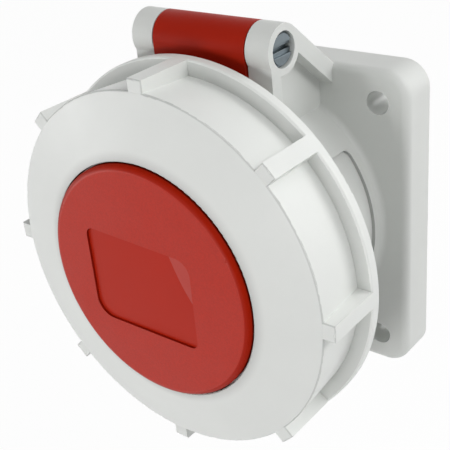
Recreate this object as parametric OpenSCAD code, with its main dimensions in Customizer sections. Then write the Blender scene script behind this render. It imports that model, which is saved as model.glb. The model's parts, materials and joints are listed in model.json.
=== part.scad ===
// Flanged industrial socket for a five-pole plug, with a hinged lid and a bayonet locking ring.
// Every module is drawn lying on its back: +Z runs out of the panel and +Y runs up the panel.
// to_panel() stands each piece up, so that the mounting plane ends at Y = 0 and the front faces -Y.

/* [Flange] */
// Distance from the collar to each side of the square flange
flange_margin = 6.5; // [5.8:0.1:8]
// Height of the flange over the panel
flange_t = 9.7; // [8.5:0.1:12]
// Corner radius of the flange
flange_corner_r = 6; // [4:0.5:8]
// Rounding of the flange's front edge
flange_edge_r = 1.8; // [0.8:0.1:2.4]
// Wall thickness of the hollow flange
flange_wall = 3; // [2.4:0.1:3.4]
// Distance of the four fixing holes from the flange's sides
fixing_inset = 7.5; // [6.8:0.1:9]
// Diameter of the four fixing holes
fixing_d = 5.5; // [4.2:0.1:6]
// Wall round each fixing hole
fixing_boss_wall = 2.6; // [1.6:0.1:3]
// Width of the seal let into the flange's back
flange_seal_w = 1.4; // [1:0.1:1.6]
// Thickness of that seal
flange_seal_t = 1.2; // [0.8:0.1:1.6]

/* [Collar and shroud] */
// Distance that the collar is set in from the shroud
collar_inset = 3.5; // [3:0.1:4]
// Wall thickness of the collar
collar_wall = 3.5; // [3.2:0.1:4]
// Height at which the collar widens into the shroud
collar_step_z = 22; // [20:0.5:23.5]
// Radius of the fillet between flange and collar
collar_fillet = 1.3; // [0.6:0.1:1.8]
// Inner radius of the shroud that takes the plug
shroud_bore_r = 32; // [30:0.1:36]
// Wall thickness of the shroud
shroud_wall = 2.5; // [2:0.1:2.7]
// Height of the shroud's mouth over the panel
mouth_z = 46.3; // [44:0.1:50]
// Thickness of the wall that closes the shroud's bottom
shroud_floor_t = 2.5; // [2:0.1:3]
// Width of the keyway that lines up the plug
keyway_w = 7; // [5:0.5:9]
// Depth of the keyway into the wall
keyway_depth = 2.9; // [2:0.1:3.2]
// Angle of the name field's upper end on the collar, left bare
field_angle = 39; // [30:1:42]
// Depth of that field
field_depth = 0.8; // [0.4:0.1:1.2]
// Height over the panel at which that field starts
field_z = 13.1; // [12:0.1:15]

/* [Hinge] */
// Distance of the hinge axis outside the locking ring's rim
hinge_offset = 0.75; // [0.3:0.05:2]
// Gap between the lid's arm and the back of the locking ring
arm_gap = 2.95; // [2:0.05:4]
// Outer radius of the ears' eyes and of the lid's barrel
hinge_r = 5.5; // [5.2:0.1:6]
// Distance between the two ears
ear_gap = 25.4; // [22:0.1:28]
// Thickness of each ear
ear_t = 5.9; // [5:0.1:7]
// Thickness of the thin panel inside each ear's frame
ear_panel_t = 2.5; // [1.8:0.1:3.5]
// Thickness of the ear's front web
ear_web_t = 3.1; // [2.4:0.1:3.6]
// Radius of the hinge pin
pin_r = 3; // [2.5:0.1:3.3]
// Radius of the pin's slotted head
pin_head_r = 3.8; // [3.5:0.1:4]
// Running clearance round the pin, on the radius
pin_clearance = 0.05; // [0.02:0.01:0.1]
// Clearance round the pin's head, on the radius
head_clearance = 0.1; // [0.05:0.01:0.2]
// Side play of the barrel between the ears
barrel_play = 0.25; // [0.2:0.05:0.5]

/* [Locking ring] */
// Distance between the shroud and the ring's skirt
ring_gap = 5; // [4.9:0.05:5.5]
// Spread of the ring's wall from its rim to its front edge
ring_draft = 0.9; // [0.4:0.1:1.5]
// Height of the rim and of the grip ribs over the wall
rim_w = 3.5; // [2.5:0.1:4]
// Thickness of the rim
rim_t = 2.75; // [2:0.05:3.5]
// Depth of the ring from its front edge to the back of the rim
ring_depth = 17.05; // [16.5:0.05:18]
// Wall thickness of the ring
ring_wall = 2; // [1.8:0.1:2.2]
// Rise of the domed front from its edge to its hole
crown_rise = 3.4; // [2.6:0.1:4]
// Number of grip ribs
rib_count = 8; // [4:2:12]
// Width of a grip rib
rib_w = 3.9; // [3:0.1:6]
// Thickness of the lip that the lid's disc holds
lip_t = 2.2; // [1.8:0.1:2.8]

/* [Bayonet] */
// Length of each shroud lug along the socket
lug_t = 3; // [2:0.1:3.5]
// Half of the angle that a lug covers
lug_half_angle = 9; // [6:1:10]
// Angle that the ring turns from open to locked
lock_angle = 45; // [40:1:48]
// Distance of the shroud lug's front from the mouth
lug_setback = 2.3; // [1.5:0.1:3.5]
// Clearance between lugs that pass each other
lug_clearance = 0.5; // [0.3:0.1:0.7]
// Radial overlap of the ring's lugs with the shroud's
lug_grip = 1.8; // [1.2:0.1:2]

/* [Lid] */
// Distance that the lid's front disc is set in from the shroud's bore
disc_inset = 4.25; // [3.5:0.05:6]
// Thickness of the front disc
disc_t = 2.65; // [2.4:0.05:4]
// Height of the disc's face over the crown's edge
disc_proud = 1.35; // [1:0.05:2.4]
// Rounding of the disc's edge
disc_edge_r = 1.5; // [0.8:0.1:2]
// Width of the ring's lip that the disc covers
lip_cover = 4; // [3.5:0.1:5]
// Wall thickness of the hub
hub_wall = 2; // [1.6:0.1:2.4]
// Thickness of the lid's plate
plate_t = 2.5; // [2:0.1:3]
// Height of the pad that the ring's lip slides on
pad_h = 1; // [0.6:0.1:1.3]
// Width of the recess in the disc
recess_w = 29.5; // [24:0.5:32]
// Height of the recess at its left end
recess_h = 22.6; // [16:0.1:23]
// Fall of the recess's upper edge towards the right
recess_fall = 1.1; // [0:0.1:2]
// Depth of the recess
recess_depth = 0.6; // [0.4:0.1:0.9]
// Thickness of the lid's gasket
lid_gasket_t = 2; // [1.5:0.1:2.5]
// Sliding clearance between lid and ring
ring_slip = 0.3; // [0.2:0.05:0.4]

/* [Contacts] */
// Distance of the contacts' axes from the carrier's side
contact_inset = 9.2; // [8.6:0.1:10]
// Bore radius of a phase or neutral contact
contact_bore_r = 2.55; // [2.3:0.05:2.7]
// Bore radius of the earth contact
earth_bore_r = 3.55; // [3.3:0.05:3.7]
// Wall thickness of a contact sleeve
contact_wall = 1.3; // [1:0.1:1.4]
// Length of the sleeves' bores
contact_depth = 34; // [30:0.5:36]
// Wall round the bore of a contact's terminal block
terminal_wall = 2.25; // [1.8:0.05:2.4]
// Length of the terminal bore
terminal_depth = 14; // [10:0.5:16]
// Radius of a terminal screw
terminal_screw_r = 2; // [1.5:0.1:2.2]

/* [Carrier] */
// Distance of the carrier's face behind the shroud's mouth
carrier_setback = 2.3; // [1:0.1:5]
// Depth of the carrier behind the panel
carrier_tail = 18; // [17:0.5:19]
// Thickness of the carrier's fixing flange
carrier_flange_t = 2.8; // [2.4:0.1:3.2]
// Clearance between the carrier and the collar's bore
carrier_clearance = 0.3; // [0.2:0.05:0.5]
// Thickness of the cover over the terminals
cover_t = 2.5; // [2:0.1:3]

/* [Hidden] */
$fn = 96;
eps = 0.01;

// Finishes
GREY = [0.82, 0.83, 0.82];
RED = [0.70, 0.19, 0.15];
BLACK = [0.12, 0.12, 0.13];
BRASS = [0.80, 0.66, 0.34];
STEEL = [0.66, 0.68, 0.70];
DARK_GREY = [0.35, 0.36, 0.38];
PIN_GREY = [0.47, 0.50, 0.52];

// Shroud and collar
shroud_r = shroud_bore_r + shroud_wall;
shroud_floor_z = collar_step_z + shroud_floor_t;
collar_r = shroud_r - collar_inset;
collar_bore_r = collar_r - collar_wall;
shroud_root_r = shroud_bore_r + shroud_wall / 2;
mouth_edge_r = 0.5;
step_edge_r = 1;
keyway_wall = 2;
field_corner_r = 1.8;
field_front_gap = 1.5;
overcut = 1;

// Flange
flange_half = collar_r + flange_margin;
flange_inner_half = flange_half - flange_wall;
flange_root_z = flange_t - overcut;
fixing_half = flange_half - fixing_inset;
fixing_boss_r = fixing_d / 2 + fixing_boss_wall;
rib_t = 1.6;
seal_groove_play = 0.1;
flange_skin = 2.8;
hollow_corner_r = 4;

// Carrier flange and its seal, inside the hollow flange
panel_clearance = 0.2;
carrier_r = collar_bore_r - carrier_clearance;
carrier_flange_z = panel_clearance + carrier_flange_t;
carrier_flange_gap = 0.2;
carrier_flange_lap = 2;
tube_rear_z = carrier_flange_z + carrier_flange_gap;
carrier_flange_r = collar_r + carrier_flange_lap;
carrier_seat_play = 0.3;
seal_t = 1.4;
seal_wall = 0.7;
seal_play = 0.1;
seal_in_r = collar_bore_r + seal_wall;
seal_out_r = collar_r - seal_wall;

// Small screws
small_screw_r = 1.45;
small_screw_head_r = 2.7;
screw_play = 0.05;
head_sink = 0.1;
csk_play = 0.15;
csk_h = small_screw_head_r - small_screw_r;
cross_w = 0.6;
cross_l = 3.2;
cross_d = 0.8;
screw_ear_r = 3.2;
screw_ear_gap = 0.2;
screw_circle_r = collar_r + screw_ear_r + screw_ear_gap;
screw_angles = [32, 212];
screw_hole_share = 0.8;
screw_hole_end_z = screw_hole_share * flange_t;
screw_tip_gap = 0.8;

// Locking ring
skirt_in_r = shroud_r + ring_gap;
ring_rear_r = skirt_in_r + ring_wall;
ring_front_r = ring_rear_r + ring_draft;
rim_r = ring_rear_r + rim_w;
disc_r = shroud_bore_r - disc_inset;
disc_play = 0.25;
ring_hole_r = disc_r + disc_play;
hub_r = ring_hole_r - lip_cover;
lip_r = hub_r + ring_slip;
pad_overlap = 1;
pad_r = disc_r + pad_overlap;
pad_play = 0.6;
lip_pad_r = pad_r + pad_play;
ring_root_r = skirt_in_r + ring_wall / 2;
rim_edge_r = 0.5;

// Lid stack, from the mouth outwards
seal_gap = 0.3;
lid_gasket_z = mouth_z + seal_gap;
plate_z = lid_gasket_z + lid_gasket_t;
plate_top = plate_z + plate_t;
pad_top = plate_top + pad_h;
lip_z = pad_top + ring_slip;
lip_top = lip_z + lip_t;
disc_z = lip_top + ring_slip;
disc_top = disc_z + disc_t;
crown_z = disc_top - disc_proud;
ring_edge_z = crown_z - crown_rise;
ring_rear_z = ring_edge_z - ring_depth;
gasket_inner_lap = 1;
gasket_outer_lap = 0.4;
gasket_in_r = shroud_bore_r - gasket_inner_lap;
gasket_out_r = shroud_r + gasket_outer_lap;
gasket_play = 0.2;
gasket_wall = 1;
inner_wall = 1.8;
gasket_wall_h = 1.4;
plate_r = gasket_out_r + gasket_play + gasket_wall;

// Hinge
hinge_y = rim_r + hinge_offset;
arm_front_z = ring_rear_z - arm_gap;
hinge_z = arm_front_z - hinge_r;
arm_t = 3;
arm_rear_z = arm_front_z - arm_t;
ear_in = ear_gap / 2;
ear_out = ear_in + ear_t;
pin_hole_r = pin_r + pin_clearance;
head_hole_r = pin_head_r + head_clearance;
pin_end_inset = 0.4;
ear_sink = 0.8;
ear_web_setback = 0.8;
ear_foot_y = sqrt(collar_r ^ 2 - ear_out ^ 2) - ear_sink;
ear_web_front_z = hinge_z + hinge_r - ear_web_setback;
ear_foot_gap = 0.3;
ear_leg_w = 4.9;
bridge_inner_gap = 1.5;
bridge_outer_gap = 0.6;
bridge_in_r = shroud_r + bridge_inner_gap;
bridge_out_r = skirt_in_r - bridge_outer_gap;
barrel_half = ear_in - barrel_play;

// Bayonet
lug_skirt_gap = 1.3;
lug_out_r = skirt_in_r - lug_skirt_gap;
lug_ramp = 7;
ring_lug_in_r = lug_out_r - lug_grip;
lug_front_z = mouth_z - lug_setback;
lug_rear_z = lug_front_z - lug_t;
ring_lug_front_z = lug_rear_z - lug_clearance;
ring_lug_t = 2.9;
lug_angles = [0, 180];

// Contacts, named as seen from the front, clockwise after the earth contact at the bottom
earth_angle = -90;
pole_step = 360 / 5;
l1_angle = earth_angle - pole_step;
l2_angle = earth_angle - 2 * pole_step;
l3_angle = earth_angle - 3 * pole_step;
n_angle = earth_angle - 4 * pole_step;
pole_angles = [l1_angle, l2_angle, l3_angle, n_angle];
contact_angles = concat(pole_angles, [earth_angle]);

// Carrier
contact_circle_r = carrier_r - contact_inset;
carrier_face_z = mouth_z - carrier_setback;
carrier_front_skin = 1.8;
front_gap = 0.2;
sleeve_front_z = carrier_face_z - carrier_front_skin - front_gap;
sleeve_shoulder_z = sleeve_front_z - contact_depth;
tail_inset = 1.5;
carrier_tail_r = carrier_r - tail_inset;
sleeve_setback = 2;
sleeve_rear_z = -carrier_tail + sleeve_setback;
chamber_play = 0.25;
spring_t = 0.55;
spring_play = 0.05;
entry_play = 0.35;
entry_lead = 0.6;
terminal_screw_z = sleeve_rear_z + terminal_depth / 2;
terminal_screw_out = 0.6;
driver_play = 0.7;
driver_hole_r = terminal_screw_r + driver_play;
cover_gap = 0.3;
cover_z = -carrier_tail - cover_gap - cover_t;
cover_screw_l = 12;

// Disc screws and the recess in the disc
disc_boss_r = 2.6;
disc_boss_gap = 0.4;
disc_screw_circle_r = hub_r - hub_wall - disc_boss_r - disc_boss_gap;
disc_screw_bite = 1.4;
disc_screw_end_gap = 0.2;
disc_screw_angles = [0, 90, 180, 270];
recess_centre = [-1.4, -0.9];
recess_corner_r = [4.3, 1.9, 3.7, 2];
ramp_r = 41.6;
ramp_reach = 4.6;
ramp_centre = [46.9, 22.7];

function unit(v) = v / norm(v);
function bore_of(a) = a == earth_angle ? earth_bore_r : contact_bore_r;
function sleeve_r_of(a) = bore_of(a) + contact_wall;
function block_half_of(a) = bore_of(a) + terminal_wall;
function chamber_r_of(a) = sleeve_r_of(a) + spring_play + spring_t + chamber_play;

// Centre of the arc of radius r that rounds corner b of the path a, b, c
function arc_centre(a, b, c, r) =
    let (u = unit(a - b), v = unit(c - b), w = unit(u + v), half = acos(u * v) / 2)
    b + w * r / sin(half);

// Where that arc leaves the side from b towards a
function arc_start(a, b, c, r) =
    let (u = unit(a - b), v = unit(c - b), half = acos(u * v) / 2)
    b + u * r / tan(half);

// Stands a piece that was drawn on its back up against the panel
module to_panel() {
    rotate([90, 0, 0]) children();
}

// Puts children at an angle round the socket's axis, and at a distance from it
module at_angle(a, r = 0) {
    rotate([0, 0, a]) translate([r, 0, 0]) children();
}

// Extrudes an outline given as [up, out of the panel] sideways from x0 to x1
module sideways(x0, x1) {
    translate([x0, 0, 0]) rotate([90, 0, 90]) linear_extrude(x1 - x0) children();
}

// A round bar across the socket, from x0 to x1 at height z
module crossbar(r, x0, x1, y, z) {
    translate([x0, y, z]) rotate([0, 90, 0]) cylinder(h = x1 - x0, r = r);
}

module ring_2d(r_out, r_in) {
    difference() {
        circle(r_out);
        circle(r_in);
    }
}

module tube(r_out, r_in, z0, z1) {
    translate([0, 0, z0]) linear_extrude(z1 - z0) ring_2d(r_out, r_in);
}

// A ring cut to the angle between a0 and a1, which is under 180 degrees
module sector_2d(r_out, r_in, a0, a1) {
    reach = 2 * r_out;
    mid = (a0 + a1) / 2;
    intersection() {
        ring_2d(r_out, r_in);
        polygon([[0, 0], reach * [cos(a0), sin(a0)], reach * [cos(mid), sin(mid)],
                 reach * [cos(a1), sin(a1)]]);
    }
}

// A rectangle about the origin with a radius of its own at each corner:
// radii = [bottom left, bottom right, top right, top left]
module rounded_rect(w, h, radii) {
    soft_polygon([[-w / 2, -h / 2], [w / 2, -h / 2], [w / 2, h / 2], [-w / 2, h / 2]], radii);
}

// A polygon whose convex corners are rounded with true arcs; radius 0 leaves a corner sharp
module soft_polygon(points, radii) {
    n = len(points);
    polygon([for (i = [0 : n - 1])
        let (a = points[(i + n - 1) % n], b = points[i], c = points[(i + 1) % n], r = radii[i])
        each r == 0 ? [b] : [arc_start(a, b, c, r), arc_start(c, b, a, r)]]);
    for (i = [0 : n - 1])
        if (radii[i] > 0) soft_corner(points[(i + n - 1) % n], points[i], points[(i + 1) % n], radii[i]);
}

// The slice of the circle that fills corner b, out to the two points where its arc starts
module soft_corner(a, b, c, r) {
    centre = arc_centre(a, b, c, r);
    ends = [arc_start(a, b, c, r), b, arc_start(c, b, a, r)];
    translate(centre) intersection() {
        circle(r, $fn = 48);
        polygon(concat([[0, 0]], [for (p = ends) 2 * (p - centre)]));
    }
}

module square_of(half, r) {
    rounded_rect(2 * half, 2 * half, [r, r, r, r]);
}

// --- Housing ------------------------------------------------------------------------------

// Solid plate with round corners and a rounded front edge
module flange_plate() {
    run = flange_half - flange_corner_r;
    flat = flange_half - flange_edge_r;
    for (a = [0 : 90 : 270]) rotate([0, 0, a]) {
        translate([run, run, 0]) rotate_extrude() flange_edge_profile();
        sideways(-run, run) translate([run, 0]) flange_edge_profile();
    }
    translate([-run, -flat, 0]) cube([2 * run, 2 * flat, flange_t]);
    translate([-flat, -run, 0]) cube([2 * flat, 2 * run, flange_t]);
}

module flange_edge_profile() {
    soft_polygon([[0, 0], [flange_corner_r, 0], [flange_corner_r, flange_t], [0, flange_t]],
                 [0, 0, flange_edge_r, 0]);
}

// The hollow behind the flange, with the bosses and ribs left standing in it
module flange_hollow() {
    fixing_circle_r = sqrt(2) * fixing_half;
    translate([0, 0, -eps]) linear_extrude(flange_t - flange_skin + eps) difference() {
        square_of(flange_inner_half, hollow_corner_r);
        circle(collar_r);
        fixing_places() circle(fixing_boss_r);
        for (a = screw_angles) at_angle(a, screw_circle_r) circle(screw_ear_r);
        for (a = [45 : 90 : 315]) rotate([0, 0, a]) hollow_rib(fixing_circle_r - fixing_boss_r);
        for (a = [0 : 90 : 270]) rotate([0, 0, a]) hollow_rib(flange_inner_half);
    }
}

// Rib from the collar out to the distance r
module hollow_rib(r) {
    translate([collar_r - overcut, -rib_t / 2]) square([r - collar_r + 2 * overcut, rib_t]);
}

module fixing_places() {
    for (x = [-fixing_half, fixing_half], y = [-fixing_half, fixing_half]) translate([x, y]) children();
}

// Room for the carrier's own flange, open to the back
module carrier_seat_cut() {
    translate([0, 0, -overcut]) linear_extrude(tube_rear_z + overcut) {
        circle(carrier_flange_r + carrier_seat_play);
        for (a = screw_angles) at_angle(a, screw_circle_r) circle(screw_ear_r + carrier_seat_play);
    }
}

module shroud_body() {
    rotate_extrude() soft_polygon(
        [[collar_bore_r, tube_rear_z], [collar_r, tube_rear_z], [collar_r, collar_step_z - collar_inset / 2],
         [shroud_r, collar_step_z + collar_inset / 2], [shroud_r, mouth_z], [shroud_bore_r, mouth_z],
         [shroud_bore_r, shroud_floor_z], [collar_bore_r, shroud_floor_z]],
        [0, 0, 0, step_edge_r, mouth_edge_r, mouth_edge_r, 0, 0]);
    rotate_extrude() translate([collar_r - eps, flange_t - eps]) difference() {
        square(collar_fillet);
        translate([collar_fillet, collar_fillet]) circle(collar_fillet, $fn = 48);
    }
}

// Bulge of the shroud's wall that leaves room for the keyway
module keyway_bulge() {
    w = keyway_w + 2 * keyway_wall;
    r = shroud_bore_r + keyway_depth + keyway_wall;
    translate([0, 0, collar_step_z]) linear_extrude(mouth_z - collar_step_z) intersection() {
        ring_2d(r, shroud_bore_r);
        translate([-w / 2, -r - overcut]) square([w, r]);
    }
}

module keyway_cut() {
    r = shroud_bore_r + keyway_depth;
    translate([0, 0, shroud_floor_z]) linear_extrude(mouth_z) intersection() {
        circle(r);
        translate([-keyway_w / 2, -r - overcut]) square([keyway_w, r]);
    }
}

// One bayonet lug of the shroud, with a ramp that leads the ring's lug in behind it
module shroud_lug(a) {
    reach = 2 * ring_gap;
    rotate([0, 0, a]) difference() {
        translate([0, 0, lug_rear_z]) linear_extrude(lug_t)
            sector_2d(lug_out_r, shroud_root_r, -lug_half_angle, lug_half_angle);
        translate([shroud_r, lug_out_r * sin(lug_half_angle) / 2, lug_rear_z])
            rotate([lug_ramp, 0, 0]) translate([-overcut, 0, -lug_t]) cube([reach, reach, lug_t]);
    }
}

// Outline of an ear, as [up, out of the panel]: eye, front web and the leg down to the flange
module ear_frame_2d() {
    leg = [ear_leg_w, 0];
    foot = [flange_half - ear_foot_gap, flange_root_z];
    centre = [hinge_y, hinge_z];
    away = centre - foot;
    turn = asin(hinge_r / norm(away));
    reach = sqrt(norm(away) ^ 2 - hinge_r ^ 2);
    heading = atan2(away[1], away[0]) - turn;
    tangent = foot + reach * [cos(heading), sin(heading)];
    translate(centre) circle(hinge_r);
    translate([ear_foot_y, ear_web_front_z - ear_web_t]) square([hinge_y - ear_foot_y, ear_web_t]);
    polygon([foot, tangent, centre, tangent - leg, foot - leg]);
}

// The thin panel between the web and the leg
module ear_panel_2d() {
    front_z = ear_web_front_z - ear_web_t / 2;
    leg_mid_y = flange_half - ear_foot_gap - ear_leg_w / 2;
    polygon([[ear_foot_y, flange_root_z], [leg_mid_y, flange_root_z], [hinge_y, hinge_z - hinge_r / 2],
             [hinge_y, hinge_z], [hinge_y - hinge_r / 2, front_z], [ear_foot_y, front_z]]);
}

module ear_right() {
    sideways(ear_in, ear_out) ear_frame_2d();
    sideways(ear_in, ear_in + ear_panel_t) ear_panel_2d();
}

// Shallow bare field on the collar's right side
module collar_field_cut() {
    front_z = collar_step_z - field_front_gap;
    half_h = collar_r * sin(field_angle);
    intersection() {
        tube(collar_r + overcut, collar_r - field_depth, field_z, front_z);
        sideways(0, collar_r + 2 * overcut) translate([0, (field_z + front_z) / 2])
            rounded_rect(2 * half_h, front_z - field_z, field_corner_r * [1, 1, 1, 1]);
    }
}

module housing() {
    color(GREY) to_panel() difference() {
        union() {
            difference() {
                flange_plate();
                flange_hollow();
                carrier_seat_cut();
            }
            shroud_body();
            keyway_bulge();
            for (a = lug_angles) shroud_lug(a);
            ear_right();
            mirror([1, 0, 0]) ear_right();
        }
        translate([0, 0, -overcut]) cylinder(h = shroud_floor_z + 2 * overcut, r = collar_bore_r);
        translate([0, 0, shroud_floor_z]) cylinder(h = mouth_z, r = shroud_bore_r);
        keyway_cut();
        tube(seal_out_r, seal_in_r, tube_rear_z - overcut, carrier_flange_z + seal_t);
        collar_field_cut();
        translate([0, 0, -overcut]) linear_extrude(flange_t + 2 * overcut)
            fixing_places() circle(fixing_d / 2);
        for (a = screw_angles) at_angle(a, screw_circle_r)
            cylinder(h = screw_hole_end_z, r = small_screw_r + screw_play);
        crossbar(head_hole_r, ear_in - overcut, ear_out + overcut, hinge_y, hinge_z);
        crossbar(pin_hole_r, -ear_out - overcut, -ear_in + overcut, hinge_y, hinge_z);
        translate([0, 0, -eps]) linear_extrude(flange_seal_t + eps)
            flange_seal_2d(flange_seal_w + 2 * seal_groove_play);
    }
}

// Square ring in the middle of the flange's wall
module flange_seal_2d(w) {
    mid = flange_half - flange_wall / 2;
    r = flange_corner_r - flange_wall / 2;
    difference() {
        square_of(mid + w / 2, r + w / 2);
        square_of(mid - w / 2, r - w / 2);
    }
}

module flange_gasket() {
    color(BLACK) to_panel() linear_extrude(flange_seal_t) flange_seal_2d(flange_seal_w);
}

// --- Contact insert -----------------------------------------------------------------------

module contact_carrier() {
    face_edge_r = 0.8;
    screw_end_z = cover_z + cover_screw_l + screw_tip_gap;
    color(DARK_GREY) to_panel() difference() {
        union() {
            rotate_extrude() soft_polygon(
                [[0, -carrier_tail], [carrier_tail_r, -carrier_tail], [carrier_tail_r, panel_clearance],
                 [carrier_r, panel_clearance], [carrier_r, carrier_face_z], [0, carrier_face_z]],
                [0, 0, 0, 0, face_edge_r, 0]);
            translate([0, 0, panel_clearance]) linear_extrude(carrier_flange_t) {
                circle(carrier_flange_r);
                for (a = screw_angles) at_angle(a, screw_circle_r) circle(screw_ear_r);
            }
        }
        for (a = contact_angles) at_angle(a, contact_circle_r) {
            contact_chamber(a);
            driver_hole();
        }
        for (a = screw_angles) at_angle(a, screw_circle_r)
            countersunk_cut(panel_clearance, carrier_flange_t);
        translate([0, 0, -carrier_tail - overcut])
            cylinder(h = screw_end_z + carrier_tail + overcut, r = small_screw_r + screw_play);
        coring();
    }
}

// Pockets moulded up from the back, between the contacts and round the screw's post
module coring() {
    top_z = sleeve_front_z - 2 * carrier_front_skin;
    pocket_r = 3.8;
    post_r = 3.6;
    for (a = contact_angles) at_angle(a + pole_step / 2, contact_circle_r)
        translate([0, 0, -carrier_tail - overcut])
            cylinder(h = carrier_tail + overcut + top_z, r = pocket_r);
    tube(contact_circle_r / 2, post_r, -carrier_tail - overcut, top_z);
}

// Everything that one contact needs out of the carrier, about the contact's own axis:
// a funnel in the face, the sleeve's chamber and the square room of the terminal block
module contact_chamber(a) {
    half = block_half_of(a) + chamber_play;
    entry_r = bore_of(a) + entry_play;
    translate([0, 0, carrier_face_z - carrier_front_skin - eps])
        cylinder(h = carrier_front_skin + 2 * eps, r1 = entry_r, r2 = entry_r + entry_lead);
    translate([0, 0, sleeve_shoulder_z])
        cylinder(h = sleeve_front_z + front_gap - sleeve_shoulder_z, r = chamber_r_of(a));
    translate([-half, -half, -carrier_tail - overcut])
        cube([2 * half, 2 * half, carrier_tail + overcut + sleeve_shoulder_z + chamber_play]);
}

module driver_hole() {
    translate([0, 0, terminal_screw_z]) rotate([0, 90, 0]) cylinder(h = carrier_r, r = driver_hole_r);
}

module countersunk_cut(z, t) {
    r = small_screw_r + csk_play;
    translate([0, 0, z - overcut]) cylinder(h = t + 2 * overcut, r = r);
    translate([0, 0, z - eps])
        cylinder(h = csk_h + csk_play, r1 = small_screw_head_r + csk_play, r2 = r - csk_play);
}

// Countersunk screw with a cross slot, head down at z and running up
module countersunk_screw(z, length) {
    translate([0, 0, z + head_sink]) difference() {
        union() {
            cylinder(h = csk_h, r1 = small_screw_head_r, r2 = small_screw_r);
            cylinder(h = length, r = small_screw_r);
        }
        for (a = [0, 90]) rotate([0, 0, a])
            translate([-cross_l / 2, -cross_w / 2, -eps]) cube([cross_l, cross_w, cross_d]);
    }
}

module carrier_seal() {
    color(BLACK) to_panel()
        tube(seal_out_r - seal_play, seal_in_r + seal_play, carrier_flange_z, carrier_flange_z + seal_t);
}

module carrier_screws() {
    color(STEEL) to_panel() for (a = screw_angles) at_angle(a, screw_circle_r)
        countersunk_screw(panel_clearance, screw_hole_end_z - screw_tip_gap);
}

module terminal_cover() {
    wire_play = 0.6;
    cover_edge_r = 0.8;
    color(DARK_GREY) to_panel() difference() {
        rotate_extrude() soft_polygon(
            [[0, cover_z], [carrier_tail_r, cover_z], [carrier_tail_r, cover_z + cover_t],
             [0, cover_z + cover_t]],
            [0, cover_edge_r, 0, 0]);
        for (a = contact_angles) at_angle(a, contact_circle_r)
            translate([0, 0, cover_z - overcut])
                cylinder(h = cover_t + 2 * overcut, r = contact_bore_r + wire_play);
        countersunk_cut(cover_z, cover_t);
    }
}

module cover_screw() {
    color(STEEL) to_panel() countersunk_screw(cover_z, cover_screw_l);
}

// One contact: slotted sleeve in front, terminal block behind, on the angle a
module sleeve(a) {
    slot_w = 0.6;
    slot_l = 12;
    half = block_half_of(a);
    reach = sleeve_r_of(a) + overcut;
    color(BRASS) to_panel() at_angle(a, contact_circle_r) difference() {
        union() {
            translate([0, 0, sleeve_shoulder_z - overcut])
                cylinder(h = sleeve_front_z - sleeve_shoulder_z + overcut, r = sleeve_r_of(a));
            translate([-half, -half, sleeve_rear_z])
                cube([2 * half, 2 * half, sleeve_shoulder_z - sleeve_rear_z]);
        }
        translate([0, 0, sleeve_shoulder_z]) cylinder(h = contact_depth + overcut, r = bore_of(a));
        translate([-reach, -slot_w / 2, sleeve_front_z - slot_l])
            cube([2 * reach, slot_w, slot_l + overcut]);
        translate([0, 0, sleeve_rear_z - overcut])
            cylinder(h = terminal_depth + overcut, r = contact_bore_r);
        translate([0, 0, terminal_screw_z]) rotate([0, 90, 0])
            cylinder(h = half + overcut, r = terminal_screw_r + screw_play);
    }
}

module sleeve_l1() {
    sleeve(l1_angle);
}

module sleeve_l2() {
    sleeve(l2_angle);
}

module sleeve_l3() {
    sleeve(l3_angle);
}

module sleeve_n() {
    sleeve(n_angle);
}

module sleeve_earth() {
    sleeve(earth_angle);
}

// Open steel rings that squeeze the slotted ends of the sleeves
module contact_springs() {
    spring_l = 7;
    setback = 2;
    gap = 1.2;
    color(STEEL) to_panel() for (a = contact_angles) at_angle(a, contact_circle_r) {
        r_in = sleeve_r_of(a) + spring_play;
        r_out = r_in + spring_t;
        translate([0, 0, sleeve_front_z - setback - spring_l]) linear_extrude(spring_l) difference() {
            ring_2d(r_out, r_in);
            translate([-r_out - overcut, -gap / 2]) square([r_out + overcut, gap]);
        }
    }
}

// Terminal screws, backed out far enough for a wire to go in
module terminal_screws() {
    slot_w = 0.7;
    slot_d = 1;
    color(STEEL) to_panel() for (a = contact_angles) at_angle(a, contact_circle_r) {
        length = block_half_of(a) + terminal_screw_out - contact_bore_r;
        translate([contact_bore_r, 0, terminal_screw_z]) difference() {
            rotate([0, 90, 0]) cylinder(h = length, r = terminal_screw_r);
            translate([length - slot_d, -terminal_screw_r, -slot_w / 2])
                cube([slot_d + overcut, 2 * terminal_screw_r, slot_w]);
        }
    }
}

// --- Hinge pin ----------------------------------------------------------------------------

// Plain pin with a head in the right ear: a slot for a driver between two raised pads
module hinge_pin() {
    slot_w = 1;
    slot_d = 1.2;
    pad_h_out = 0.8;
    pad_gap = 2.6;
    pad_step = 0.5;
    head_setback = 0.3;
    head_x = ear_in + head_setback;
    end_x = ear_out - pin_end_inset;
    face_x = end_x - pad_h_out;
    color(PIN_GREY) to_panel() difference() {
        union() {
            crossbar(pin_r, -end_x, head_x + overcut, hinge_y, hinge_z);
            crossbar(pin_head_r, head_x, face_x, hinge_y, hinge_z);
            difference() {
                crossbar(pin_head_r - pad_step, face_x - overcut, end_x, hinge_y, hinge_z);
                translate([face_x, hinge_y - pad_gap / 2, hinge_z - hinge_r])
                    cube([hinge_r, pad_gap, 2 * hinge_r]);
            }
        }
        translate([face_x - slot_d, hinge_y - slot_w / 2, hinge_z - hinge_r])
            cube([hinge_r, slot_w, 2 * hinge_r]);
    }
}

// --- Lid ----------------------------------------------------------------------------------

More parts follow.
